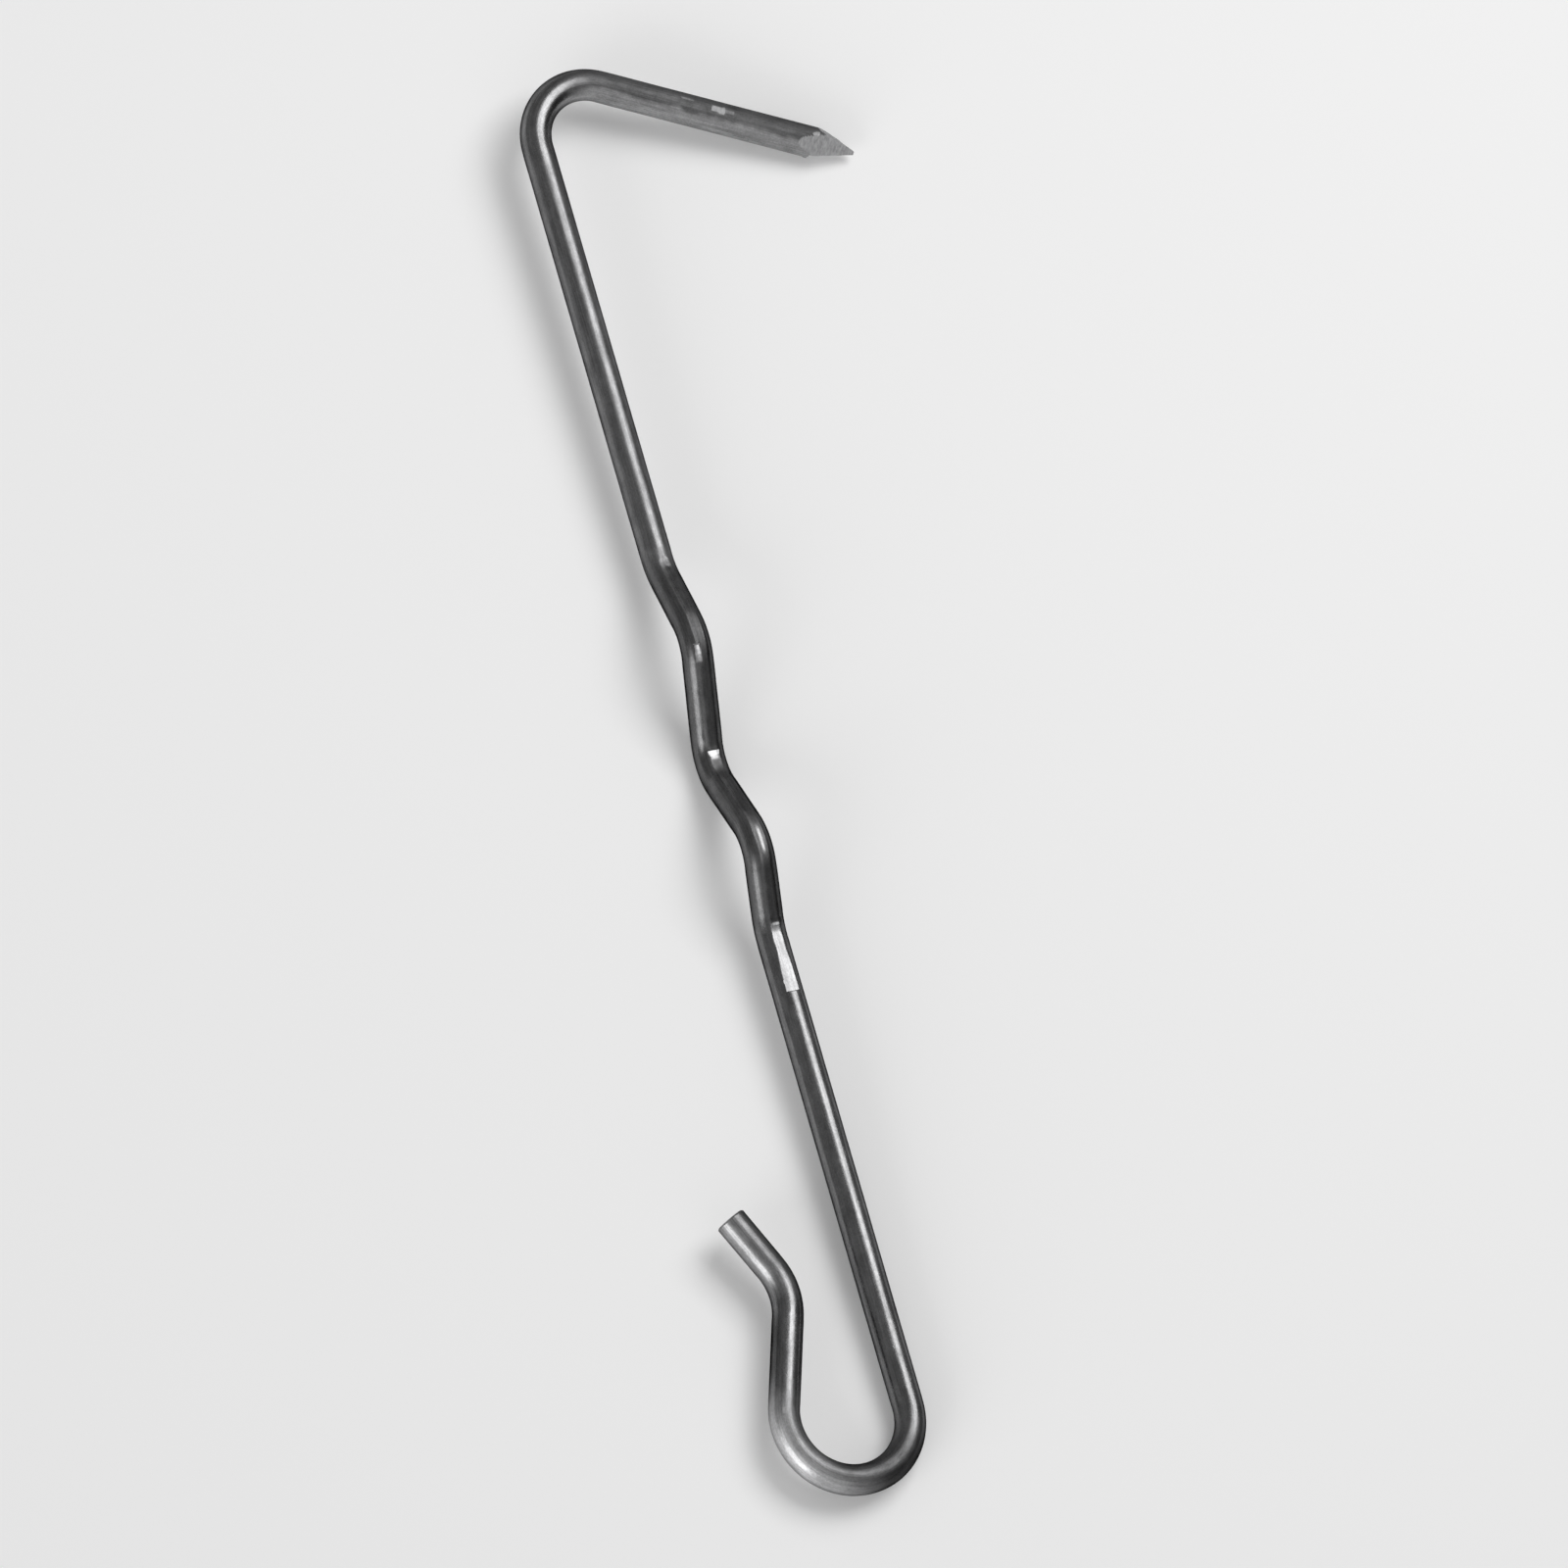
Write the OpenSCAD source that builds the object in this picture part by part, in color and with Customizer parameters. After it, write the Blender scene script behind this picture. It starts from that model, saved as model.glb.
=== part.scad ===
// Slate hook, drive-in pattern: one length of round stainless wire, pointed, crimped and bent.
// Millimetres. The hook lies on its side as it comes to rest when loose: the arm leaves
// towards +X, the shaft runs towards -Y and the crests of the crimp rise towards +Z.
// The origin is on the wire's axis, where the straight arm meets the top bend.

/* [Wire] */
// Diameter of the drawn wire
wire_d = 2.7; // [2.0:0.1:4.0]
// How much thinner the wire's radius is where it is bent
bend_thin = 0.01; // [0.01:0.01:0.05]
// Bevel left at the cropped end of the lip
crop_edge = 0.12; // [0.05:0.01:0.3]

/* [Arm] */
// Straight arm, from the top bend to the tip of the point
arm_len = 22.3; // [15:0.1:40]
// Length over which the four facets of the point run out
point_len = 5.1; // [3:0.1:8]
// Width of the blunt tip across its flats
tip_w = 0.32; // [0.1:0.02:0.8]
// Turn of the four facets about the arm
point_turn = 32; // [0:1:89]

/* [Top bend] */
// Radius of the top bend at the wire's centre
top_r = 4.8; // [4.0:0.1:12]
// Angle that the wire turns through from the arm to the shaft
top_angle = 115; // [90:1:130]

/* [Shaft] */
// Shaft between the top bend and the loop
shaft_len = 110.5; // [90:0.5:200]

/* [Crimp] */
// Start of the shaft to the first corner of the crimp
crimp_start = 37.0; // [15:0.1:40]
// Shaft length taken by the rise to the first crest
run_1 = 7.0; // [6:0.1:9]
// Shaft length from the first crest to the trough
run_2 = 9.9; // [8:0.1:12]
// Shaft length from the trough to the second crest
run_3 = 8.0; // [7:0.1:10]
// Shaft length from the second crest to the last corner
run_4 = 6.9; // [6:0.1:9]
// Height of the first crest's corner above the upper shaft
crest_1 = 3.1; // [1.5:0.1:3.5]
// Depth of the trough's corner below the upper shaft
trough = 1.7; // [0.5:0.1:2]
// Height of the second crest's corner above the upper shaft
crest_2 = 3.7; // [1.5:0.1:4]
// Height of the lower shaft above the upper shaft
set_over = 0.9; // [0:0.1:1]
// Radius of the crests and the trough at the wire's centre
crest_r = 4.0; // [3.0:0.1:5]
// Radius of the first and the last corner at the wire's centre
lead_r = 5.5; // [3.0:0.1:7]
// Thickness left over the two flats that the crimping dies press
press_t = 2.53; // [1.8:0.01:2.66]
// Pressed length before the first corner's bend
press_lead = 0.4; // [0.2:0.1:3]
// Pressed length after the last corner's bend
press_land = 4.4; // [0.5:0.1:8]

/* [Loop] */
// Radius of the loop at the wire's centre
loop_r = 5.45; // [4.5:0.05:10]
// Angle that the wire turns through from the shaft to the leg
loop_angle = 199; // [180:1:203]
// Straight leg between the loop and the lip's bend
leg_len = 7.8; // [5:0.1:12]
// Radius of the lip's bend at the wire's centre
lip_r = 5.7; // [3:0.1:8]
// Angle that the lip turns away from the shaft
lip_angle = 45; // [20:1:60]
// Straight lip, from its bend to the cropped end
lip_len = 5.2; // [2:0.1:12]

/* [Hidden] */
WIRE_FACETS = 48;
BEND_FACETS = 96;
// How far a straight reaches into the bends at its ends, so that they are one solid
LAP = 0.05;
STEEL = [0.42, 0.43, 0.44];
wire_r = wire_d / 2;
point_taper = atan2(wire_r - tip_w / 2, point_len);

// Directions in which a bend turns, as seen along the wire with the hook on its side
LEFT = 0;
UP = 90;
RIGHT = 180;
DOWN = 270;

// Corners of the crimp's centreline before its bends: distance along the shaft, height
corners = [
    [0, 0],
    [crimp_start, 0],
    [crimp_start + run_1, crest_1],
    [crimp_start + run_1 + run_2, -trough],
    [crimp_start + run_1 + run_2 + run_3, crest_2],
    [crimp_start + run_1 + run_2 + run_3 + run_4, set_over],
    [shaft_len, set_over]
];
corner_r = [0, lead_r, crest_r, crest_r, crest_r, lead_r, 0];

// Slope of the straight after corner i, the turn at corner i and the length its bend takes
function slope(i) = atan2(corners[i + 1][1] - corners[i][1], corners[i + 1][0] - corners[i][0]);
function turn(i) = (i == 0 || i == len(corners) - 1) ? 0 : slope(i) - slope(i - 1);
function tangent(i) = corner_r[i] * tan(abs(turn(i)) / 2);
function straight(i) = norm(corners[i + 1] - corners[i]) - tangent(i) - tangent(i + 1);

// Where the hook touches the surface that it lies on: below the trough, the loop and the arm
shaft_x = top_r * (cos(top_angle) - 1);
shaft_y = -top_r * sin(top_angle);
trough_lift = crest_r * (1 / cos(turn(3) / 2) - 1);
below_trough = [shaft_x, shaft_y - corners[3][0], trough_lift - trough - press_t / 2];
below_loop = [shaft_x, shaft_y - shaft_len, set_over - wire_r];
below_arm = concat((arm_len - point_len) * [sin(top_angle), cos(top_angle)], -wire_r);

// The two turns that lay the hook down on those three places
floor_normal = cross(below_arm - below_loop, below_trough - below_loop);
rest_roll = atan2(-floor_normal.x, floor_normal.z);
rest_pitch = atan2(floor_normal.y, norm([floor_normal.x, floor_normal.z]));

// Section of the wire in a bend, between the flats that the dies press where it is pressed
module bent_section(pressed) {
    intersection() {
        circle(r = wire_r - bend_thin, $fn = WIRE_FACETS);
        if (pressed) square([2 * wire_d, press_t - 2 * bend_thin], center = true);
        else square(2 * wire_d, center = true);
    }
}

// The two die flats on a straight wire along +Z, from one height to another
module die_flats(from, to) {
    for (side = [-1, 1])
        translate([0, side * (press_t / 2 + wire_r), (from + to) / 2])
        cube([2 * wire_d, wire_d, to - from], center = true);
}

// A straight length of wire along +Z, pressed between two heights, with what follows it at its far end
module run(length, pressed_from = 0, pressed_to = 0) {
    difference() {
        translate([0, 0, -LAP]) cylinder(r = wire_r, h = length + 2 * LAP, $fn = WIRE_FACETS);
        if (pressed_to > pressed_from) die_flats(pressed_from, pressed_to);
    }
    translate([0, 0, length]) children();
}

// A straight length of wire that is pressed from end to end
module pressed_run(length) {
    run(length, -2 * LAP, length + 2 * LAP) children();
}

// A bend that starts along +Z and turns towards one side, with what follows it at its far end
module bend(radius, angle, side, pressed = false) {
    rotate([0, 0, side]) {
        translate([radius, 0, 0])
            rotate([90, 0, 0])
            rotate([0, 0, 180 - angle])
            rotate_extrude(angle = angle, $fn = BEND_FACETS)
            translate([radius, 0])
            rotate([0, 0, -side])
            bent_section(pressed);
        translate([radius * (1 - cos(angle)), 0, radius * sin(angle)])
            rotate([0, angle, 0])
            rotate([0, 0, -side])
            children();
    }
}

// The bend at corner i of the crimp
module crimp_bend(i) {
    bend(corner_r[i], abs(turn(i)), turn(i) > 0 ? UP : DOWN, true) children();
}

// The straight arm with its point: four flat facets ground to a blunt tip. Its root runs out in a
// cone inside the top bend, so that the arm's full diameter starts at the origin.
module arm() {
    translate([0, 0, -LAP])
        cylinder(r1 = wire_r - 2 * bend_thin, r2 = wire_r, h = LAP, $fn = WIRE_FACETS);
    difference() {
        cylinder(r = wire_r, h = arm_len, $fn = WIRE_FACETS);
        for (side = [0:3])
            rotate([0, 0, 90 * side + point_turn])
            translate([wire_r, 0, arm_len - point_len])
            rotate([0, -point_taper, 0])
            translate([0, -wire_d, 0])
            cube([2 * wire_d, 2 * wire_d, 2 * point_len]);
    }
}

// The straight lip with its cropped end
module lip() {
    translate([0, 0, -LAP]) cylinder(r = wire_r, h = lip_len + LAP - crop_edge, $fn = WIRE_FACETS);
    translate([0, 0, lip_len - crop_edge])
        cylinder(r1 = wire_r, r2 = wire_r - crop_edge, h = crop_edge, $fn = WIRE_FACETS);
}

// The shaft with its crimp, and what follows it at the loop
module shaft() {
    run(straight(0), straight(0) - press_lead, straight(0) + 2 * LAP)
        crimp_bend(1)
        pressed_run(straight(1))
        crimp_bend(2)
        pressed_run(straight(2))
        crimp_bend(3)
        pressed_run(straight(3))
        crimp_bend(4)
        pressed_run(straight(4))
        crimp_bend(5)
        run(straight(5), -2 * LAP, press_land)
        children();
}

module hook() {
    color(STEEL)
        rotate([rest_pitch, 0, 0])
        rotate([0, rest_roll, 0]) {
        // The arm points away from the top bend
        rotate([90, 0, 180 - top_angle]) arm();
        // The wire from the top bend to the lip, with the shaft towards -Y
        rotate([90, 0, -top_angle])
            bend(top_r, top_angle, LEFT)
            shaft()
            bend(loop_r, loop_angle, RIGHT)
            run(leg_len)
            bend(lip_r, lip_angle, LEFT)
            lip();
    }
}

hook();
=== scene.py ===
"""The looks of a slate hook: one round stainless wire, pointed, crimped and bent.

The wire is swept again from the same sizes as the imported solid, with more detail: unequal facets
at the point, the marks that the forming tools leave and a sheared end. Lengths are in millimetres
until the mesh is written, which is in metres. The hook lies on a pale floor, seen from above.
"""

import math
from collections import namedtuple

import bpy
import numpy as np
from mathutils import Matrix, Vector


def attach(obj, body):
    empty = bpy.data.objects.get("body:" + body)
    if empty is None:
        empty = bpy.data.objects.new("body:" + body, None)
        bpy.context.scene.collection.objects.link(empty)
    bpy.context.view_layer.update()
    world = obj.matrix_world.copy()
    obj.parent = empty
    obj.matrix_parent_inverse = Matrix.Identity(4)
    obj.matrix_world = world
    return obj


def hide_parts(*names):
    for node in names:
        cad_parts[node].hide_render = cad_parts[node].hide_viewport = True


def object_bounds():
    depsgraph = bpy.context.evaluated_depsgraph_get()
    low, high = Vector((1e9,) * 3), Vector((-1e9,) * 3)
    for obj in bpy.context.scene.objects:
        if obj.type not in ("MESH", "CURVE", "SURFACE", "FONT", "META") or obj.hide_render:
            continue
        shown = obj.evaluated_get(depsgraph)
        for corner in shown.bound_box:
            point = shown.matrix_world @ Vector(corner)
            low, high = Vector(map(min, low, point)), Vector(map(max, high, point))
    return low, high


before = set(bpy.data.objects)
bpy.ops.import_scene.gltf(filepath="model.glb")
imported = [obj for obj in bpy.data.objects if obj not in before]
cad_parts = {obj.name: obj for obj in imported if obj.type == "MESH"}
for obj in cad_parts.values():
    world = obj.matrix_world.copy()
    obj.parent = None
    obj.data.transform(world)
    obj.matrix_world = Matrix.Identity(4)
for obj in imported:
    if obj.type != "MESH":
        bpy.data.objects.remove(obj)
cad_low, cad_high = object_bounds()

MM = 0.001

# ---------------------------------------------------------------- sizes of the wire
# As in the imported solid
WIRE_R = 1.35
BEND_THIN = 0.01
ARM_LEN = 22.3
POINT_LEN = 5.1
TIP_W = 0.32
TOP_R = 4.8
TOP_ANGLE = 115.0
SHAFT_LEN = 110.5
CRIMP_START = 37.0
RUNS = (7.0, 9.9, 8.0, 6.9)
CREST_1 = 3.1
TROUGH = 1.7
CREST_2 = 3.7
SET_OVER = 0.9
CREST_R = 4.0
LEAD_R = 5.5
PRESS_T = 2.53
PRESS_LEAD = 0.4
PRESS_LAND = 4.4
LOOP_R = 5.45
LOOP_ANGLE = 199.0
LEG_LEN = 7.8
LIP_R = 5.7
LIP_ANGLE = 45.0
LIP_LEN = 5.2
CROP_EDGE = 0.12

# How much less than the solid's the wire's radius is, and how much less still for its waves
SKIN = 0.024
WAVE_ROOM = 0.006
# Heights of the long and the short waves of drawn wire
LONG_WAVE = 0.004
SHORT_WAVE = 0.002
# How much further than in the solid the lower land runs, and how much deeper its lower end is
LAND_MORE = 0.35
LAND_DEEPER = 0.07
# Length over which the press runs in at its upper end, and that of the step at its lower end
PRESS_RAMP = 1.6
PRESS_STEP = 0.14
# How much further out a die flat or a tool mark stands where it is clear of the wire
PRESS_CLEAR = 0.16
MARK_CLEAR = 0.1
# Length over which a tool mark runs out
MARK_RAMP = 0.12
# A distance that stands for no surface at all
FAR = 99.0
# How far back the shear's lean takes the cropped end, and the angle of the side that stays
SHEAR_LEAN = 0.09
SHEAR_ANGLE = 70.0

# ---------------------------------------------------------------- marks on the wire
# Places along the wire are distances from the tip of the point. Angles round the section are in
# degrees: 0 is the side that the top bend turns to, and 90 is up.

# The four ground facets: the angle that each faces, how far back from the tip it would run out,
# and where it stops
FACETS = ((58.0, 5.1, 9.0), (143.0, 3.5, 9.0), (238.0, 4.8, 9.0), (328.0, 5.2, 3.75))
# The burr that grinding leaves behind the last of these facets: where it starts and ends, its
# angle and its height
BURR = (3.85, 4.0, 338.0, 0.06)

# Small flats left by tools: middle along the wire, length, angle faced, depth, rise for each
# millimetre along the wire, and how polished and how freshly ground they look
ToolMark = namedtuple("ToolMark", "middle length facing depth rise polish fresh")
TOOL_MARKS = (
    ToolMark(3.8, 0.7, 100.0, 0.030, 0.1, 0.4, 0.6),
    ToolMark(11.3, 0.7, 99.0, 0.022, 0.0, 0.0, 0.45),
    ToolMark(12.3, 1.1, 98.0, 0.040, 0.02, 0.4, 0.55),
    ToolMark(15.0, 1.1, 109.0, 0.010, 0.0, 0.0, 0.7),
    ToolMark(30.1, 0.5, 114.0, 0.014, 0.0, 0.2, 0.6),
    ToolMark(86.3, 0.9, 92.0, 0.110, 0.12, 0.8, 0.1),
    ToolMark(163.6, 0.45, 70.0, 0.022, 0.0, 0.3, 0.5),
    ToolMark(171.2, 0.7, 30.0, 0.010, 0.0, 0.4, 0.0),
    ToolMark(52.0, 0.6, 140.0, 0.006, 0.0, 0.0, 0.3),
    ToolMark(128.0, 0.8, 200.0, 0.010, 0.0, 0.0, 0.4),
)
# Small round dents from the die's corners: middle along the wire, angle, half length, half
# width in degrees, and depth
DENTS = (
    (80.6, 118.0, 0.30, 7.0, 0.02),
    (84.2, 116.0, 0.45, 7.0, 0.03),
    (69.6, 82.0, 0.30, 8.0, 0.05),
)
# A nick where the die's corner bit into the first crest: where it starts, its length, its angle,
# its half width in degrees, and its depth at the start, from which it runs out
NICK_START = 77.05
NICK_LEN = 1.2
NICK_ANGLE = 108.0
NICK_HALF = 12.0
NICK_DEPTH = 0.19
# The notch that the die's corner leaves before the lower land: how far before the end of the
# crimp's last bend it lies, its angle and its depth
NOTCH_BEFORE = 1.7
NOTCH_ANGLE = 80.0
NOTCH_DEPTH = 0.045
# Where the dies rubbed the wire bright: middle along the wire, half length, angle and half width
RUBBED = ((96.6, 0.95, 88.0, 6.0), (86.3, 0.6, 92.0, 14.0))

# ---------------------------------------------------------------- looks of the wire
# How matt the wire is where it was handled, from 0 to 1
ARM_MATT = 1.0
SHAFT_MATT = 0.22
LOOP_MATT = 0.5
LIP_MATT = 0.3
# How matt the dies leave the crimp all over, the tops of its bends and its first bend
CRIMP_MATT = 0.12
CREST_MATT = 0.5
FIRST_BEND_MATT = 0.4
# How polished the lower land, the rubbed patches and the nick are, from 0 to 1
LAND_POLISH = 0.6
RUBBED_POLISH = 0.5
NICK_POLISH = 0.5
# How ground, matt and polished the middle of the tip and of the cropped end are
TIP_FINISH = (1, 0, 0)
CROP_FINISH = (0.7, 0, 0)

# The wire's mean tone, and how much paler (above 0) or darker (below 0) its parts are painted:
# painted highlight and painted shade
MEAN_TONE = 1
ARM_TONE = 0.9
ARM_UPPER_TONE = -1.12
CRIMP_TONE = 0.02
CRIMP_NEAR_TONE = -0.42
CRIMP_FLANK_TONE = -0.32
LOOP_END_TONE = 0.28
LOOP_BOTTOM_TONE = -0.42
LOOP_OUTSIDE_TONE = -0.22
LOOP_SHINE_TONE = 1.6
LEG_OUTSIDE_TONE = -0.5
LIP_TONE = -0.1
LIP_OUTSIDE_TONE = 0.75
# How far, in degrees, the edge of a painted dark side wanders
WANDER = 6

# Reflectance of the drawn steel and of freshly ground steel, from the darkest to the palest
STEEL_DARK = 0.03
STEEL_PALE = 0.34
GROUND_DARK = 0.28
GROUND_PALE = 0.74
# How much darker and paler the lines along the wire are, and how much bluer than grey steel is
LINE_DARK = 0.55
LINE_PALE = 1.45
STEEL_BLUE = 1.012
# Tint of the steel at glancing angles
EDGE_TINT = 0.12
# Roughness of the streaks along the wire, and what handling adds, each from low to high
STREAK_ROUGH = (0.12, 0.26)
HANDLED_ROUGH = (-0.08, 0.20)
# What matt and ground places add to the roughness, and the share of it that polish takes away
MATT_ROUGH = 0.42
GROUND_ROUGH = 0.16
POLISH_SHARE = 0.55
# Depths of the fine relief, in metres: drawing lines, matt places, pits and grinding scratches
LINE_DEPTH = 1.6e-6
MATT_DEPTH = 2.2e-6
PIT_DEPTH = 4e-6
SCRATCH_DEPTH = 7e-6

# ---------------------------------------------------------------- the mesh's resolution
SIDES = 80
# Distances between rings in bends and under the press, and in the straights
BEND_STEP = 0.14
STRAIGHT_STEP = 0.32
# Edges sharper than this are shaded as edges, in degrees
SHARP_ANGLE = 28

# ---------------------------------------------------------------- floor, camera and light
# Half the floor's side in metres, its colour, and how much it glows where it is seen
FLOOR_HALF = 1.5
FLOOR_COLOUR = (0.87, 0.87, 0.87, 1)
FLOOR_GLOW = 0.10

# Directions of the picture's right and up, the middle of the picture, and how wide it is there
VIEW_RIGHT = Vector((0.93918, -0.27874, 0.20077))
VIEW_UP = Vector((0.20499, 0.92374, 0.32355))
VIEW_CENTRE = Vector((-2.08, -61.61, -0.05)) * MM
VIEW_WIDTH = 128.56 * MM
VIEW_DISTANCE = 5.0
SENSOR_WIDTH = 36.0

# What the panels face
LOOP_PLACE = Vector((-13.0, -112.0, 0.0)) * MM
SHAFT_PLACE = Vector((-7.0, -85.0, 0.0)) * MM
# Each panel's distance from what it faces, its width and height, in metres, and its brightness
KEY_PANEL = dict(distance=0.6, width=0.44, height=0.34, brightness=4.1)
LOW_PANEL = dict(distance=0.8, width=0.50, height=0.50, brightness=3.4)
# The room's own brightness, and where it is brighter or darker: azimuth and elevation, the angles
# from there between which the change fades out, and how much it adds
ROOM_LEVEL = 0.29
ROOM_LOBES = (
    (222, 28, 8, 36, 0.10),
    (270, 15, 15, 60, 0.30),
    (328, 10, 12, 56, -0.25),
)


# ---------------------------------------------------------------- the wire's route
# A straight or a bend: its name, where it starts, its length, its arc (the radius and the angle
# that it bends towards, or None) and the place, side and along at its start
Part = namedtuple("Part", "name start length arc state")


class Route:
    """The wire's centreline, from the tip of the point to the cropped end.

    Each place on it has two directions: side, across the wire, and along it. Up is along x side.
    """

    def __init__(self, start, along, side):
        self.parts = []
        self.length = 0.0
        self.place = np.array(start, float)
        self.along = np.array(along, float)
        self.side = np.array(side, float)

    def straight(self, length, name):
        self.parts.append(Part(name, self.length, length, None, self._state()))
        self.place = self.place + length * self.along
        self.length += length

    def bend(self, radius, angle, towards, name):
        """A bend towards a direction, given as its angle in the section: 0 is the side."""
        state = self._state()
        turn = math.radians(angle)
        self.parts.append(Part(name, self.length, radius * turn, (radius, towards), state))
        self.place, self.side, self.along = self._bent(state, radius, towards, turn)
        self.length += radius * turn

    def _state(self):
        return self.place, self.side, self.along

    @staticmethod
    def _bent(state, radius, towards, turn):
        place, side, along = state
        up = np.cross(along, side)
        inward = math.cos(math.radians(towards)) * side + math.sin(math.radians(towards)) * up
        axis = np.cross(along, inward)
        spin = np.array(Matrix.Rotation(turn, 3, Vector(axis)))
        moved = place + radius * (1 - math.cos(turn)) * inward + radius * math.sin(turn) * along
        return moved, spin @ side, spin @ along

    def at(self, s):
        """Place, side and along of the section at a distance s from the tip."""
        reached = (part for part in self.parts if s <= part.start + part.length + 1e-9)
        part = next(reached, self.parts[-1])
        if part.arc is None:
            place, side, along = part.state
            return place + (s - part.start) * along, side, along
        radius, towards = part.arc
        return self._bent(part.state, radius, towards, (s - part.start) / radius)

    def start_of(self, name):
        return next(part.start for part in self.parts if part.name == name)

    def end_of(self, name):
        return next(part.start + part.length for part in self.parts if part.name == name)


def crimp_corners():
    """Corners of the crimp before its bends: distance along the shaft, and height."""
    heights = (0.0, CREST_1, -TROUGH, CREST_2, SET_OVER)
    at = CRIMP_START + np.concatenate([[0.0], np.cumsum(RUNS)])
    return [(0.0, 0.0)] + list(zip(at, heights)) + [(SHAFT_LEN, SET_OVER)]


def add_shaft(route):
    corners = crimp_corners()
    radii = (0.0, LEAD_R, CREST_R, CREST_R, CREST_R, LEAD_R, 0.0)
    steps = [(b[0] - a[0], b[1] - a[1]) for a, b in zip(corners, corners[1:])]
    slopes = [math.degrees(math.atan2(dz, dx)) for dx, dz in steps]
    turns = [0.0] + [b - a for a, b in zip(slopes, slopes[1:])] + [0.0]
    cut = [r * math.tan(math.radians(abs(t)) / 2) for r, t in zip(radii, turns)]
    for i, step in enumerate(steps):
        route.straight(math.hypot(*step) - cut[i] - cut[i + 1], f"shaft_{i}")
        if i + 1 < len(steps):
            up_or_down = math.copysign(90, turns[i + 1])
            route.bend(radii[i + 1], abs(turns[i + 1]), up_or_down, f"crimp_{i + 1}")


def make_route():
    turn = math.radians(TOP_ANGLE)
    arm = np.array([math.sin(turn), math.cos(turn), 0.0])
    side = np.array([math.cos(turn), -math.sin(turn), 0.0])
    route = Route(ARM_LEN * arm, -arm, side)
    route.straight(ARM_LEN, "arm")
    route.bend(TOP_R, TOP_ANGLE, 0, "top")
    add_shaft(route)
    route.bend(LOOP_R, LOOP_ANGLE, 180, "loop")
    route.straight(LEG_LEN, "leg")
    route.bend(LIP_R, LIP_ANGLE, 0, "lip_bend")
    route.straight(LIP_LEN, "lip")
    return route


def rest_turn():
    """The rotation that lays the flat hook down on its trough, its loop and its arm."""
    corners = crimp_corners()
    slope = [math.atan2(b[1] - a[1], b[0] - a[0]) for a, b in zip(corners, corners[1:])]
    lift = CREST_R * (1 / math.cos((slope[3] - slope[2]) / 2) - 1)
    turn = math.radians(TOP_ANGLE)
    x = TOP_R * (math.cos(turn) - 1)
    y = -TOP_R * math.sin(turn)
    trough = Vector((x, y - corners[3][0], lift - TROUGH - PRESS_T / 2))
    loop = Vector((x, y - SHAFT_LEN, SET_OVER - WIRE_R))
    reach = ARM_LEN - POINT_LEN
    arm = Vector((reach * math.sin(turn), reach * math.cos(turn), -WIRE_R))
    normal = (arm - loop).cross(trough - loop)
    roll = math.atan2(-normal.x, normal.z)
    pitch = math.atan2(normal.y, math.hypot(normal.x, normal.z))
    return Matrix.Rotation(pitch, 3, "X") @ Matrix.Rotation(roll, 3, "Y")


def press_span(route):
    """Where along the wire the crimping dies press it."""
    start = route.start_of("crimp_1") - PRESS_LEAD
    return start, route.end_of("crimp_5") + PRESS_LAND + LAND_MORE


def notch_place(route):
    """Where along the wire the notch before the lower land lies."""
    return route.end_of("crimp_5") - NOTCH_BEFORE


# ---------------------------------------------------------------- shapes of curves
def smooth(x, low, high):
    """0 below low, 1 above high, and a smooth step between."""
    t = np.clip((x - low) / (high - low), 0.0, 1.0)
    return t * t * (3 - 2 * t)


def within(x, low, high, edge):
    """1 between low and high, falling to 0 over edge outside them."""
    return smooth(x, low - edge, low) * (1 - smooth(x, high, high + edge))


def waves(seed, count, shortest, longest):
    """A smooth random function of a distance, made of sine waves, about -1 to 1."""
    rng = np.random.default_rng(seed)
    lengths = np.exp(rng.uniform(math.log(shortest), math.log(longest), count))
    phases = rng.uniform(0, 2 * math.pi, count)
    sizes = (lengths / longest) ** 0.5
    sizes /= np.sqrt((sizes ** 2).sum() / 2)

    def value(x):
        angle = 2 * math.pi * np.asarray(x)[..., None] / lengths + phases
        return 0.5 * (sizes * np.sin(angle)).sum(-1)
    return value


def angle_from(phi, centre):
    """Angle phi less the centre, in degrees from -180 to 180."""
    return (np.degrees(phi) - centre + 180) % 360 - 180


# ---------------------------------------------------------------- the wire's section
def round_radius(route, s, phi):
    """Round wire, a little thinner in its bends, with the faint waves of drawn wire."""
    bent = np.zeros_like(s)
    for part in route.parts:
        if part.arc is not None:
            bent = np.maximum(bent, within(s, part.start, part.start + part.length, 0.4))
    long_wave = waves(seed=3, count=9, shortest=4.0, longest=60.0)
    short_wave = waves(seed=4, count=9, shortest=1.0, longest=8.0)
    wave = LONG_WAVE * long_wave(s + 9 * np.cos(phi)) + SHORT_WAVE * short_wave(s)
    return WIRE_R - BEND_THIN * bent - WAVE_ROOM + wave * (1 - 0.3 * bent)


def press_limit(route, s, phi):
    """Distance of the two die flats from the wire's centre, in the direction phi.

    The upper end of the press runs in over a ramp and its lower end is a square step. The lower
    land is a little less deep near its start, and deepest at its lower end.
    """
    start, end = press_span(route)
    pressed = smooth(s, start, start + PRESS_RAMP) * (1 - smooth(s, end, end + PRESS_STEP))
    land = route.end_of("crimp_5")
    shallow = 0.02 * within(s, land + 0.9, land + 1.3, 0.8)
    deeper = LAND_DEEPER * smooth(s, land + 0.5, end)
    half = PRESS_T / 2 + shallow - deeper + (1 - pressed) * PRESS_CLEAR
    return half / np.maximum(np.abs(np.sin(phi)), 1e-6)


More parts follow.
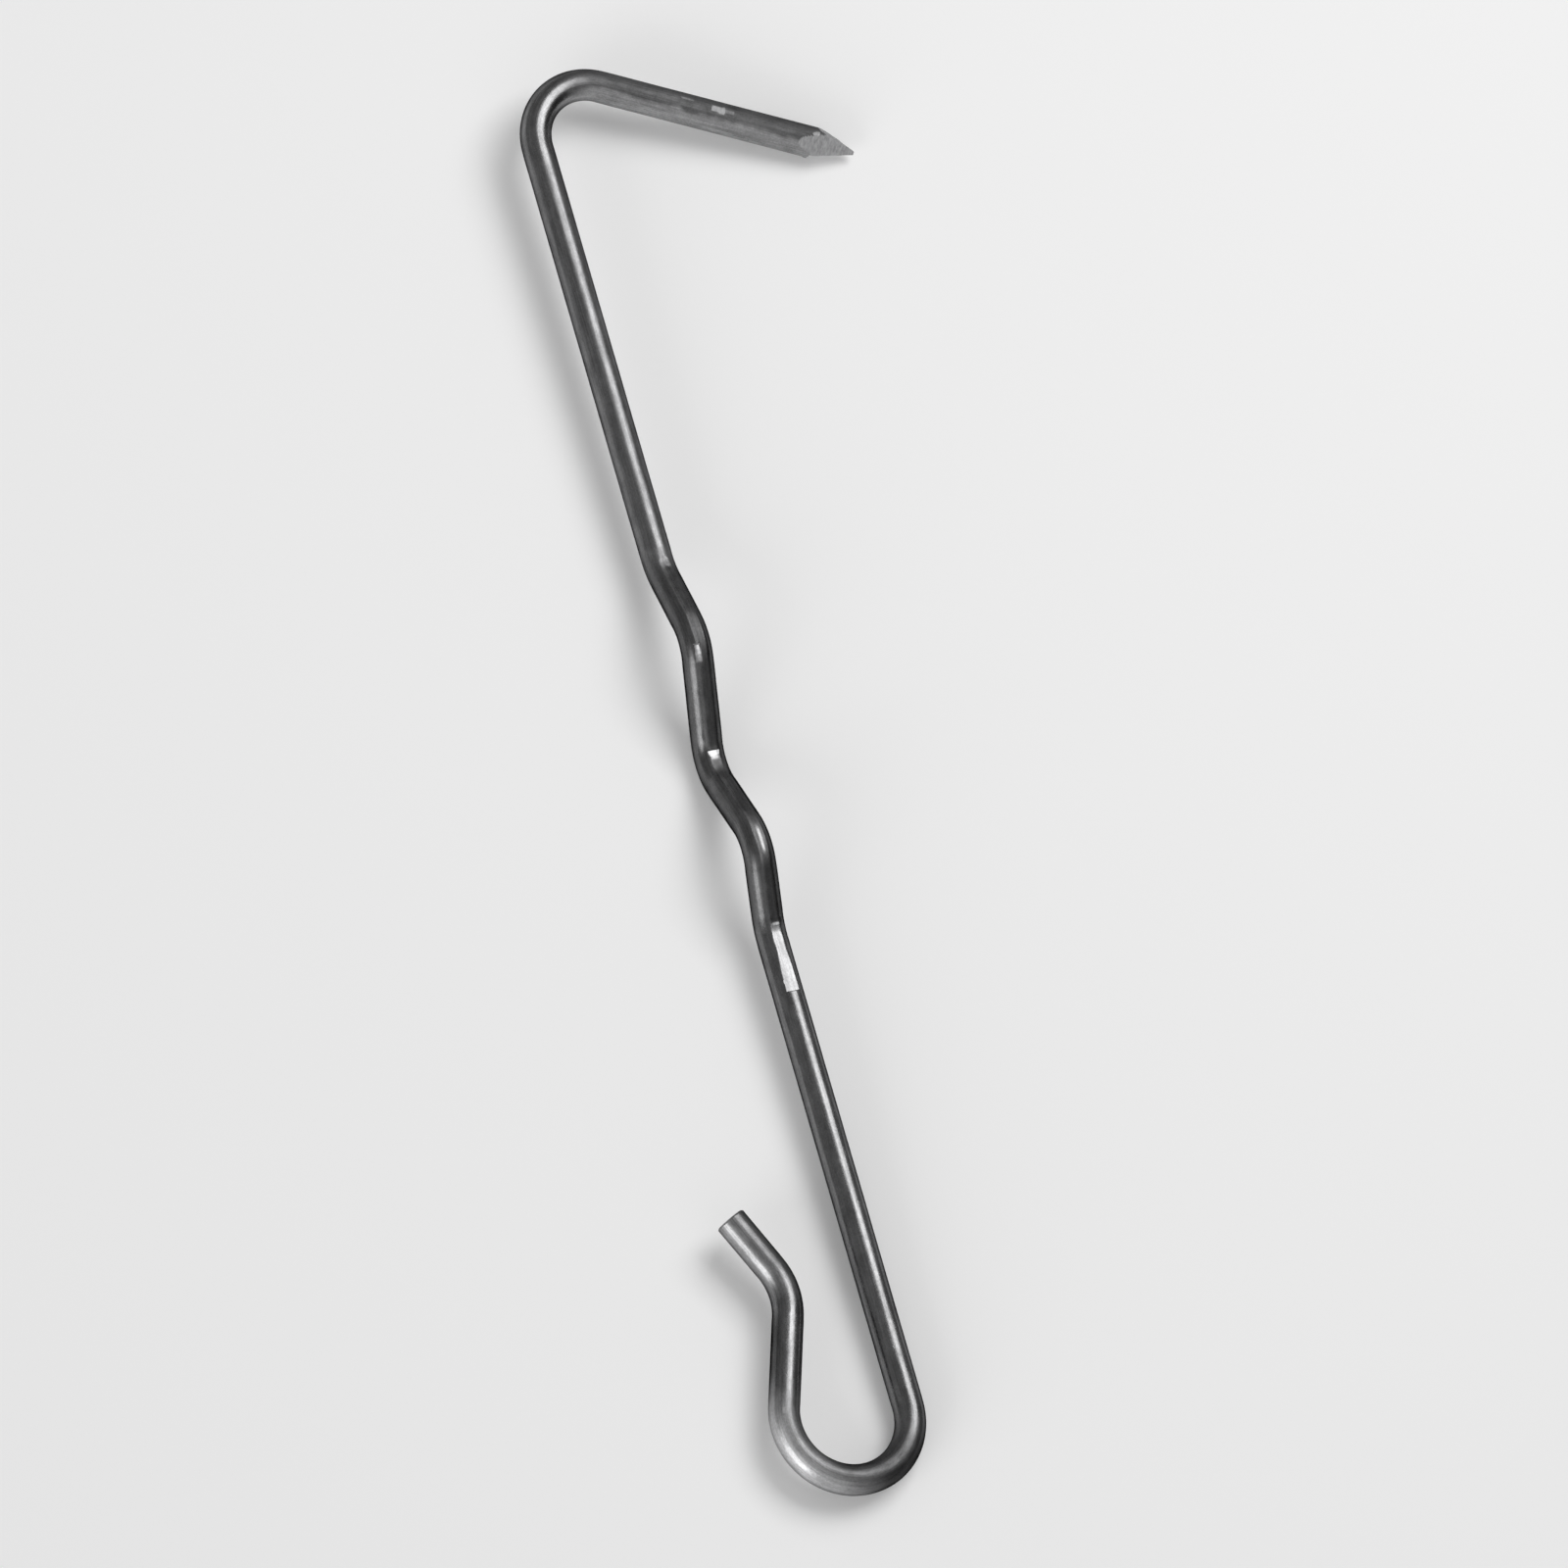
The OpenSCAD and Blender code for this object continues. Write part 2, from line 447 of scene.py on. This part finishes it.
def flat_limit(phi, facing, half):
    """Distance of one plane from the wire's centre in the direction phi; it faces an angle."""
    turned = np.cos(np.radians(angle_from(phi, facing)))
    return np.where(turned > 0.05, half / np.maximum(turned, 0.05), FAR)


def point_limit(s, phi):
    """Distance of the four ground facets from the wire's centre, in the direction phi."""
    limit = np.full_like(s, FAR)
    ripple = waves(seed=8, count=7, shortest=0.5, longest=3.0)
    uneven = 0.02 * ripple(s + 1.5 * np.cos(3 * phi))
    for facing, length, stop in FACETS:
        half = TIP_W / 2 + s * (WIRE_R - TIP_W / 2) / length + smooth(s, stop, stop + 0.12)
        limit = np.minimum(limit, flat_limit(phi, facing, half + uneven * smooth(s, 0.3, 1.5)))
    return limit


def mark_limit(s, phi, mark):
    """Distance of one tool mark's flat, with ends that run out over a short ramp."""
    half = mark.length / 2
    out = 1 - within(s, mark.middle - half, mark.middle + half, MARK_RAMP)
    slope = mark.rise * np.clip(s - mark.middle, -half, half)
    distance = WIRE_R + (slope - mark.depth) * (1 - out) + MARK_CLEAR * out
    return flat_limit(phi, mark.facing, distance)


def notch(route, s, phi):
    """Depth of the notch that the die's corner leaves just before the lower land."""
    at = notch_place(route)
    across = 1 - smooth(np.abs(angle_from(phi, NOTCH_ANGLE)), 8.0, 30.0)
    return NOTCH_DEPTH * within(s, at - 0.1, at + 0.1, 0.45) * across


def burr(s, phi):
    """Height of the burr that grinding leaves behind the last facet."""
    start, end, angle, height = BURR
    across = 1 - smooth(np.abs(angle_from(phi, angle)), 6.0, 26.0)
    return height * within(s, start, end, 0.12) * across


def nick(s, phi):
    """Depth of the nick, which has a flat floor, and how far a place is inside it, from 0 to 1."""
    away = np.clip(np.abs(angle_from(phi, NICK_ANGLE)), 0, 60)
    across = 1 - smooth(away, NICK_HALF - 1.0, NICK_HALF + 1.5)
    ramp = np.clip(1 - (s - NICK_START) / NICK_LEN, 0, 1)
    along = ramp * smooth(s, NICK_START - 0.08, NICK_START)
    above_flat = WIRE_R * (1 / np.cos(np.radians(away)) - 1)
    depth = across * np.maximum(NICK_DEPTH * along - above_flat, 0)
    return depth, across * smooth(along, 0.0, 0.15)


def dents(s, phi):
    """Depth of the round dents."""
    depth = np.zeros_like(s)
    for middle, angle, length, width, deep in DENTS:
        away = ((s - middle) / length) ** 2 + (angle_from(phi, angle) / width) ** 2
        depth = depth + deep * np.exp(-away)
    return depth


# ---------------------------------------------------------------- the wire's finish
def rubbed(s, phi):
    """How far, from 0 to 1, a place is inside one of the patches that the dies rubbed bright."""
    inside = np.zeros_like(s)
    for middle, length, angle, width in RUBBED:
        across = 1 - smooth(np.abs(angle_from(phi, angle)), width * 0.6, width * 1.4)
        along = 1 - smooth(np.abs(s - middle), length * 0.6, length * 1.4)
        inside = np.maximum(inside, across * along)
    return inside


def press_finish(route, s, phi, pressed):
    """How matt and how polished the dies leave the wire.

    The crests, the trough and the first bend are scuffed. The lower land and the rubbed patches
    are bright.
    """
    land = route.end_of("crimp_5") - 0.6
    bright = smooth(s, land, land + 0.2)
    crests = np.zeros_like(s)
    for name in ("crimp_2", "crimp_3", "crimp_4"):
        middle = (route.start_of(name) + route.end_of(name)) / 2
        crests = np.maximum(crests, within(s, middle - 0.8, middle + 0.8, 1.6))
    start = press_span(route)[0]
    zone = smooth(s, start, start + 2.5) * (1 - bright)
    patch = rubbed(s, phi)
    scuffed = zone * (CRIMP_MATT + CREST_MATT * crests * pressed) * (1 - patch)
    first = FIRST_BEND_MATT * within(s, start + 0.3, route.end_of("crimp_1"), 0.8)
    polished = np.maximum(LAND_POLISH * pressed * bright, RUBBED_POLISH * patch)
    return np.maximum(scuffed, first), polished


def handled_finish(route, s):
    """How matt the wire is where it was gripped: the arm, the upper shaft, the loop, the lip."""
    arm = ARM_MATT * (1 - smooth(s, ARM_LEN - 0.5, ARM_LEN + 5.0))
    shaft = SHAFT_MATT * within(s, ARM_LEN + 12.0, press_span(route)[0] - 2, 3.0)
    loop = LOOP_MATT * within(s, route.start_of("loop") + 5, route.end_of("loop") - 2, 5.0)
    lip = LIP_MATT * smooth(s, route.start_of("lip_bend"), route.end_of("lip_bend"))
    return np.maximum(np.maximum(arm, loop), np.maximum(lip, shaft))


def section(route, s, phi):
    """Radius of the wire at distances s and angles phi, and its finish there.

    The finish is how ground, how matt and how polished the surface is, each from 0 to 1.
    """
    r = round_radius(route, s, phi)
    point = point_limit(s, phi)
    ground = smooth(r - point, -0.004, 0.012)
    r = np.minimum(r, point) + burr(s, phi)
    press = press_limit(route, s, phi)
    pressed = smooth(r - press, -0.002, 0.003)
    r = np.minimum(r, press) - notch(route, s, phi)
    scuffed, polished = press_finish(route, s, phi, pressed)
    for mark in TOOL_MARKS:
        limit = mark_limit(s, phi, mark)
        inside = smooth(r - limit, -0.002, 0.003)
        polished = np.maximum(polished, mark.polish * inside)
        ground = np.maximum(ground, mark.fresh * inside)
        r = np.minimum(r, limit)
    matt = np.maximum(scuffed, handled_finish(route, s))
    nick_depth, nicked = nick(s, phi)
    # The nick is painted pale as freshly cut metal, and this paleness also stands in for a painted
    # glint on it.
    ground = np.maximum(ground, nicked)
    polished = np.maximum(polished, NICK_POLISH * nicked)
    r = r - dents(s, phi) - nick_depth - SKIN
    return r, np.stack([ground, matt, polished], -1)


# ---------------------------------------------------------------- the wire's painted light and shade
def outer_side(phi):
    """How far, from 0 to 1, an angle is on the side that is outermost in the loop."""
    return within(angle_from(phi, 26.0), -40.0, 34.0, 24.0)


def arm_painted_shading(s, phi, wander):
    """Painted highlight and painted shade: the arm is painted paler than the shaft, and darker on
    its upper side.
    """
    arm = 1 - smooth(s, ARM_LEN + 1.0, ARM_LEN + 7.0)
    upper = smooth(angle_from(phi, 64.0 + wander), -9.0, 9.0) * (angle_from(phi, 130.0) < 100)
    return arm * (ARM_TONE + ARM_UPPER_TONE * upper)


def crimp_painted_shading(route, s, phi, wander):
    """Painted shade: the crimp is painted darker on the side that the top bend turns to, and on
    the other flank.
    """
    start, end = press_span(route)
    crimp = smooth(s, start, start + 3) * (1 - smooth(s, end - 6.5, end - 5.5))
    near = (1 - smooth(angle_from(phi, 106.0 + wander), -14.0, 6.0)) * (1 - rubbed(s, phi))
    flank = within(angle_from(phi, 150.0), -25.0, 40.0, 20.0)
    return crimp * (CRIMP_TONE + CRIMP_NEAR_TONE * near + CRIMP_FLANK_TONE * flank)


def loop_painted_shading(route, s, phi):
    """Painted light and shade: the loop is painted darker at its bottom and outside, and paler at
    its far end's outside as a painted highlight.
    """
    start, end = route.start_of("loop"), route.end_of("loop")
    far_end = LOOP_END_TONE * within(s, end - 5, end - 1, 4.0)
    bottom = LOOP_BOTTOM_TONE * within(s, start + 5, end - 9, 4.0)
    outside = within(angle_from(phi, 20.0), -40.0, 30.0, 30.0)
    dark = LOOP_OUTSIDE_TONE * within(s, start + 1, end - 8, 3.0) * outside
    # Painted highlight on the loop's outermost side, near its far end.
    shine = LOOP_SHINE_TONE * outer_side(phi) * within(s, end - 8, end - 2.5, 4.0)
    return far_end + bottom + dark + shine


def leg_painted_shading(route, s, phi):
    """Painted shade: the leg is painted darker on its outside."""
    start = route.end_of("loop")
    leg = within(s, start + 3.0, start + LEG_LEN - 1.5, 2.5)
    return LEG_OUTSIDE_TONE * leg * within(angle_from(phi, 20.0), -40.0, 16.0, 24.0)


def lip_painted_shading(route, s, phi):
    """Painted light and shade: the lip is painted a little darker, but paler on the side that is
    outermost in the loop, as a painted highlight.
    """
    lip = smooth(s, route.start_of("lip_bend") + 1, route.end_of("lip_bend"))
    return lip * (LIP_OUTSIDE_TONE * outer_side(phi) + LIP_TONE)


def painted_shading(route, s, phi):
    """Painted light and shade: how pale the wire is painted.

    The painted dark sides of the arm and of the crimp have an edge that wanders along the wire.
    """
    wander = WANDER * waves(seed=5, count=11, shortest=1.0, longest=6.0)(s)
    upper_part = arm_painted_shading(s, phi, wander)
    lower_part = loop_painted_shading(route, s, phi) + leg_painted_shading(route, s, phi) + lip_painted_shading(route, s, phi)
    return MEAN_TONE + upper_part + crimp_painted_shading(route, s, phi, wander) + lower_part


# ---------------------------------------------------------------- the mesh
def fine_spans(route):
    """Lengths of the wire with small detail: from, to, and the distance between rings there."""
    start, end = press_span(route)
    at = notch_place(route)
    spans = [
        (0.0, 5.6, 0.06),
        (start, start + 1.3, 0.1),
        (end - 0.1, end + 0.3, 0.03),
        (at - 0.5, at + 0.5, 0.05),
        (NICK_START - 0.2, NICK_START + NICK_LEN, 0.04),
        (route.length - 0.5, route.length, 0.04),
    ]
    for mark in TOOL_MARKS:
        half = mark.length / 2
        spans.append((mark.middle - half - 0.2, mark.middle + half + 0.2, 0.06))
    for middle, _, length, _, _ in DENTS:
        spans.append((middle - 2 * length, middle + 2 * length, 0.08))
    return spans


def stations(route):
    """Distances along the wire at which it gets a ring, closer together where it has detail."""
    fine = fine_spans(route)
    bends = [part for part in route.parts if part.arc is not None]
    curved = [(part.start, part.start + part.length) for part in bends] + [press_span(route)]
    s = 0.0
    out = [s]
    while s < route.length - 1e-6:
        in_bend = any(low - 0.3 <= s <= high + 0.3 for low, high in curved)
        step = BEND_STEP if in_bend else STRAIGHT_STEP
        step = min([step] + [small for low, high, small in fine if low <= s < high])
        s = min(s + step, route.length)
        out.append(s)
    return np.array(out)


def sheared_end(route, s, phi):
    """How far the cropped end leans back: the shear leaves it a little out of square."""
    near_end = smooth(s, route.length - 0.5, route.length)
    return SHEAR_LEAN * near_end * (1 - np.cos(phi - math.radians(SHEAR_ANGLE))) / 2


def wire_grid(route):
    """Points of the swept wire ring by ring, and the values that its material uses."""
    s = stations(route)
    corner = math.radians(FACETS[0][0] + 45)
    phi = corner + 2 * math.pi * np.arange(SIDES) / SIDES
    ss, pp = np.meshgrid(s, phi, indexing="ij")
    r, finish = section(route, ss, pp)
    crop = np.clip(CROP_EDGE - (route.length - s), 0, None)
    r = r - crop[:, None]
    sections = [route.at(x) for x in s]
    places, sides, alongs = (np.array(column) for column in zip(*sections))
    ups = np.cross(alongs, sides)
    points = places[:, None] + (r * np.cos(pp))[..., None] * sides[:, None]
    points = points + (r * np.sin(pp))[..., None] * ups[:, None]
    points = points - sheared_end(route, ss, pp)[..., None] * alongs[:, None]
    wire = np.stack([ss, r * np.cos(pp), r * np.sin(pp)], -1)
    return points, wire, finish


def wire_faces(rings, sides):
    """Faces between the rings, and a fan to the middle of each end, which are the last points."""
    index = np.arange(rings * sides).reshape(rings, sides)
    after = np.roll(index, -1, axis=1)
    quads = np.stack([index[:-1], after[:-1], after[1:], index[1:]], -1).reshape(-1, 4)
    tip = rings * sides
    crop = tip + 1
    faces = quads.tolist()
    faces += [(tip, int(after[0, i]), int(index[0, i])) for i in range(sides)]
    faces += [(crop, int(index[-1, i]), int(after[-1, i])) for i in range(sides)]
    return faces


def with_ends(grid):
    """The grid's points in one list, with the middle of its first and its last ring at the end."""
    ends = np.array([grid[0].mean(0), grid[-1].mean(0)])
    return np.vstack([grid.reshape(-1, 3), ends])


def add_values(mesh, name, rows):
    """Stores three values for each point of the mesh, for its material to read."""
    values = mesh.attributes.new(name, "FLOAT_VECTOR", "POINT")
    values.data.foreach_set("vector", rows.astype(np.float32).ravel())


def wire_mesh(route):
    """The mesh of the wire as it lies, in metres."""
    points, wire, finish = wire_grid(route)
    verts = with_ends(points) @ np.array(rest_turn()).T * MM
    mesh = bpy.data.meshes.new("hook_wire")
    mesh.from_pydata(verts.tolist(), [], wire_faces(*points.shape[:2]))
    mesh.update()
    add_values(mesh, "wire", with_ends(wire))
    add_values(mesh, "finish", np.vstack([finish.reshape(-1, 3), TIP_FINISH, CROP_FINISH]))
    # Painted light and shade along the wire, stored for the material to read.
    tones = painted_shading(route, wire[..., 0], np.arctan2(wire[..., 2], wire[..., 1]))
    tones = np.append(tones.ravel(), [MEAN_TONE, MEAN_TONE])
    add_values(mesh, "painted_shading", np.repeat(tones[:, None], 3, axis=1))
    mesh.shade_smooth()
    mesh.set_sharp_from_angle(angle=math.radians(SHARP_ANGLE))
    return mesh


# ---------------------------------------------------------------- materials
class Nodes:
    """A node tree, with short calls for its nodes and links."""

    def __init__(self, tree):
        self.tree = tree
        tree.nodes.clear()

    def add(self, kind, **settings):
        node = self.tree.nodes.new(kind)
        for name, value in settings.items():
            setattr(node, name, value)
        return node

    def link(self, a, b):
        self.tree.links.new(a, b)

    def attribute(self, name, output="Vector"):
        return self.add("ShaderNodeAttribute", attribute_name=name).outputs[output]

    def math(self, operation, a, b):
        """A sum or product of two outputs, or of an output and a number."""
        node = self.add("ShaderNodeMath", operation=operation)
        for socket, value in zip(node.inputs, (a, b)):
            if isinstance(value, (int, float)):
                socket.default_value = value
            else:
                self.link(value, socket)
        return node.outputs[0]

    def between(self, factor, low, high):
        """A number that goes from low to high as the factor goes from 0 to 1."""
        return self.math("ADD", self.math("MULTIPLY", factor, high - low), low)

    def smooth_step(self, value, low, high):
        """A map range that steps smoothly as the value goes from low to high."""
        node = self.add("ShaderNodeMapRange", interpolation_type="SMOOTHSTEP")
        node.inputs["From Min"].default_value = low
        node.inputs["From Max"].default_value = high
        self.link(value, node.inputs["Value"])
        return node

    def noise(self, place, stretch, detail, roughness=0.5):
        """Noise over the wire: stretch is its cells to the millimetre along and across."""
        scaled = self.add("ShaderNodeVectorMath", operation="MULTIPLY")
        self.link(place, scaled.inputs[0])
        scaled.inputs[1].default_value = (stretch[0], stretch[1], stretch[1])
        noise = self.add("ShaderNodeTexNoise")
        noise.inputs["Scale"].default_value = 1.0
        noise.inputs["Detail"].default_value = detail
        noise.inputs["Roughness"].default_value = roughness
        self.link(scaled.outputs[0], noise.inputs["Vector"])
        return noise.outputs["Fac"]

    def bump(self, height, depth, normal=None):
        """A relief of some depth in metres, laid over the normal."""
        node = self.add("ShaderNodeBump")
        node.inputs["Distance"].default_value = depth
        self.link(height, node.inputs["Height"])
        if normal is not None:
            self.link(normal, node.inputs["Normal"])
        return node.outputs["Normal"]


def steel_tone(t, wire, ground):
    """Colour of the steel: grey, faintly mottled, paler where it is freshly ground, and with
    painted light and shade along the wire.
    """
    blotches = t.noise(wire, (0.5, 1.2), 4, 0.6)
    grain = t.noise(wire, (6.0, 9.0), 2)
    mottle = t.math("ADD", t.math("MULTIPLY", blotches, 0.6), t.math("MULTIPLY", grain, 0.4))
    drawn = t.between(mottle, STEEL_DARK, STEEL_PALE)
    lines = t.between(t.noise(wire, (0.15, 8.0), 3), LINE_DARK, LINE_PALE)
    # The drawn steel's colour is scaled by the painted light and shade along the wire.
    drawn = t.math("MULTIPLY", t.math("MULTIPLY", drawn, lines), t.attribute("painted_shading", "Fac"))
    fresh = t.between(t.noise(wire, (7.0, 2.0), 3), GROUND_DARK, GROUND_PALE)
    mix = t.add("ShaderNodeMix", data_type="FLOAT")
    t.link(ground, mix.inputs[0])
    t.link(drawn, mix.inputs[2])
    t.link(fresh, mix.inputs[3])
    colour = t.add("ShaderNodeCombineColor")
    for name in ("Red", "Green"):
        t.link(mix.outputs[0], colour.inputs[name])
    t.link(t.math("MULTIPLY", mix.outputs[0], STEEL_BLUE), colour.inputs["Blue"])
    return colour.outputs[0]


def steel_roughness(t, wire, ground, matt, polished):
    """Smooth drawn wire, with a matt arm, dull ground facets and die flats that are polished."""
    streaks = t.between(t.noise(wire, (0.3, 5.0), 3), *STREAK_ROUGH)
    handled = t.between(t.noise(wire, (1.1, 1.6), 4, 0.65), *HANDLED_ROUGH)
    rough = t.math("ADD", streaks, handled)
    rough = t.math("ADD", rough, t.math("MULTIPLY", matt, MATT_ROUGH))
    rough = t.math("ADD", rough, t.math("MULTIPLY", ground, GROUND_ROUGH))
    left = t.math("SUBTRACT", 1.0, t.math("MULTIPLY", polished, POLISH_SHARE))
    return t.math("MULTIPLY", rough, left)


def steel_relief(t, wire, ground, matt):
    """Fine lines from the drawing die, a dull skin where matt, pits, and scratches when ground."""
    lines = t.bump(t.noise(wire, (0.12, 13.0), 2), LINE_DEPTH)
    dull = t.bump(t.math("MULTIPLY", t.noise(wire, (5.0, 7.0), 3), matt), MATT_DEPTH, lines)
    pits = t.smooth_step(t.noise(wire, (1.3, 2.4), 3, 0.6), 0.66, 0.74).outputs[0]
    pitted = t.bump(t.math("MULTIPLY", pits, -1.0), PIT_DEPTH, dull)
    scratches = t.math("MULTIPLY", t.noise(wire, (17.0, 2.2), 3), ground)
    return t.bump(scratches, SCRATCH_DEPTH, pitted)


def steel_material():
    material = bpy.data.materials.new("stainless_wire")
    material.use_nodes = True
    t = Nodes(material.node_tree)
    out = t.add("ShaderNodeOutputMaterial")
    shader = t.add("ShaderNodeBsdfPrincipled")
    wire = t.attribute("wire")
    finish = t.add("ShaderNodeSeparateXYZ")
    t.link(t.attribute("finish"), finish.inputs[0])
    ground, matt, polished = finish.outputs
    shader.inputs["Metallic"].default_value = 1.0
    shader.inputs["Specular Tint"].default_value = (EDGE_TINT, EDGE_TINT, EDGE_TINT, 1)
    t.link(steel_tone(t, wire, ground), shader.inputs["Base Color"])
    t.link(steel_roughness(t, wire, ground, matt, polished), shader.inputs["Roughness"])
    t.link(steel_relief(t, wire, ground, matt), shader.inputs["Normal"])
    t.link(shader.outputs[0], out.inputs[0])
    return material


def floor_material():
    """A pale matt floor, lifted towards white where it is seen directly or in the steel."""
    material = bpy.data.materials.new("pale_floor")
    material.use_nodes = True
    t = Nodes(material.node_tree)
    out = t.add("ShaderNodeOutputMaterial")
    matt = t.add("ShaderNodeBsdfDiffuse")
    matt.inputs["Color"].default_value = FLOOR_COLOUR
    glow = t.add("ShaderNodeEmission")
    ray = t.add("ShaderNodeLightPath")
    seen = t.math("MAXIMUM", ray.outputs["Is Camera Ray"], ray.outputs["Is Glossy Ray"])
    seen = t.math("MAXIMUM", seen, ray.outputs["Is Transmission Ray"])
    t.link(t.math("MULTIPLY", seen, FLOOR_GLOW), glow.inputs["Strength"])
    both = t.add("ShaderNodeAddShader")
    t.link(matt.outputs[0], both.inputs[0])
    t.link(glow.outputs[0], both.inputs[1])
    t.link(both.outputs[0], out.inputs[0])
    return material


# ---------------------------------------------------------------- the pieces
def make_hook():
    mesh = wire_mesh(make_route())
    piece = bpy.data.objects.new("hook_wire", mesh)
    bpy.context.scene.collection.objects.link(piece)
    mesh.materials.append(steel_material())
    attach(piece, "root")
    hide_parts("hook")


def make_floor(height):
    corners = ((-1, -1), (1, -1), (1, 1), (-1, 1))
    verts = [(FLOOR_HALF * x, FLOOR_HALF * y, height) for x, y in corners]
    mesh = bpy.data.meshes.new("floor")
    mesh.from_pydata(verts, [], [(0, 1, 2, 3)])
    floor = bpy.data.objects.new("floor", mesh)
    bpy.context.scene.collection.objects.link(floor)
    mesh.materials.append(floor_material())


# ---------------------------------------------------------------- camera and light
def make_camera():
    right = VIEW_RIGHT.normalized()
    back = right.cross(VIEW_UP).normalized()
    up = back.cross(right)
    data = bpy.data.cameras.new("camera")
    data.sensor_width = SENSOR_WIDTH
    data.lens = SENSOR_WIDTH * VIEW_DISTANCE / VIEW_WIDTH
    data.clip_start = 0.1
    data.clip_end = 100.0
    camera = bpy.data.objects.new("camera", data)
    turn = Matrix((right, up, back)).transposed().to_4x4()
    camera.matrix_world = Matrix.Translation(VIEW_CENTRE + VIEW_DISTANCE * back) @ turn
    bpy.context.scene.collection.objects.link(camera)
    bpy.context.scene.camera = camera


def direction(azimuth, elevation):
    """A direction from the object: azimuth from +X towards +Y, and elevation, in degrees."""
    a, e = math.radians(azimuth), math.radians(elevation)
    return Vector((math.cos(a) * math.cos(e), math.sin(a) * math.cos(e), math.sin(e)))


def make_panel(name, target, towards, distance, width, height, brightness):
    """A soft rectangular studio panel that faces a target from one direction, in metres."""
    data = bpy.data.lights.new(name, "AREA")
    data.shape = "RECTANGLE"
    data.size = width
    data.size_y = height
    data.energy = brightness * math.pi * width * height
    panel = bpy.data.objects.new(name, data)
    turn = towards.to_track_quat("Z", "Y").to_matrix().to_4x4()
    panel.matrix_world = Matrix.Translation(target + distance * towards) @ turn
    panel.visible_camera = False
    bpy.context.scene.collection.objects.link(panel)


def lobe(t, ray, towards, inner, outer, strength):
    """Brightness of the room near one direction, fading out between two angles from it."""
    facing = t.add("ShaderNodeVectorMath", operation="DOT_PRODUCT")
    facing.inputs[1].default_value = towards
    t.link(ray, facing.inputs[0])
    faded = math.cos(math.radians(outer))
    full = math.cos(math.radians(inner))
    fade = t.smooth_step(facing.outputs["Value"], faded, full)
    fade.inputs["To Max"].default_value = strength
    return fade.outputs["Result"]


def make_world():
    """A dim grey studio, brighter below the loop in the picture and darker at its lower right."""
    world = bpy.data.worlds.new("studio")
    bpy.context.scene.world = world
    world.use_nodes = True
    t = Nodes(world.node_tree)
    out = t.add("ShaderNodeOutputWorld")
    sky = t.add("ShaderNodeBackground")
    ray = t.add("ShaderNodeTexCoord").outputs["Generated"]
    level = ROOM_LEVEL
    for azimuth, elevation, inner, outer, strength in ROOM_LOBES:
        more = lobe(t, ray, direction(azimuth, elevation), inner, outer, strength)
        level = t.math("ADD", level, more)
    t.link(level, sky.inputs["Strength"])
    sky.inputs["Color"].default_value = (1, 1, 1, 1)
    t.link(sky.outputs[0], out.inputs[0])


make_hook()
make_floor(height=cad_low[2])
make_camera()
make_world()
make_panel("key", SHAFT_PLACE, direction(38, 56), **KEY_PANEL)
make_panel("low_panel", LOOP_PLACE, direction(206, 18), **LOW_PANEL)

bpy.context.scene.view_settings.view_transform = "Standard"
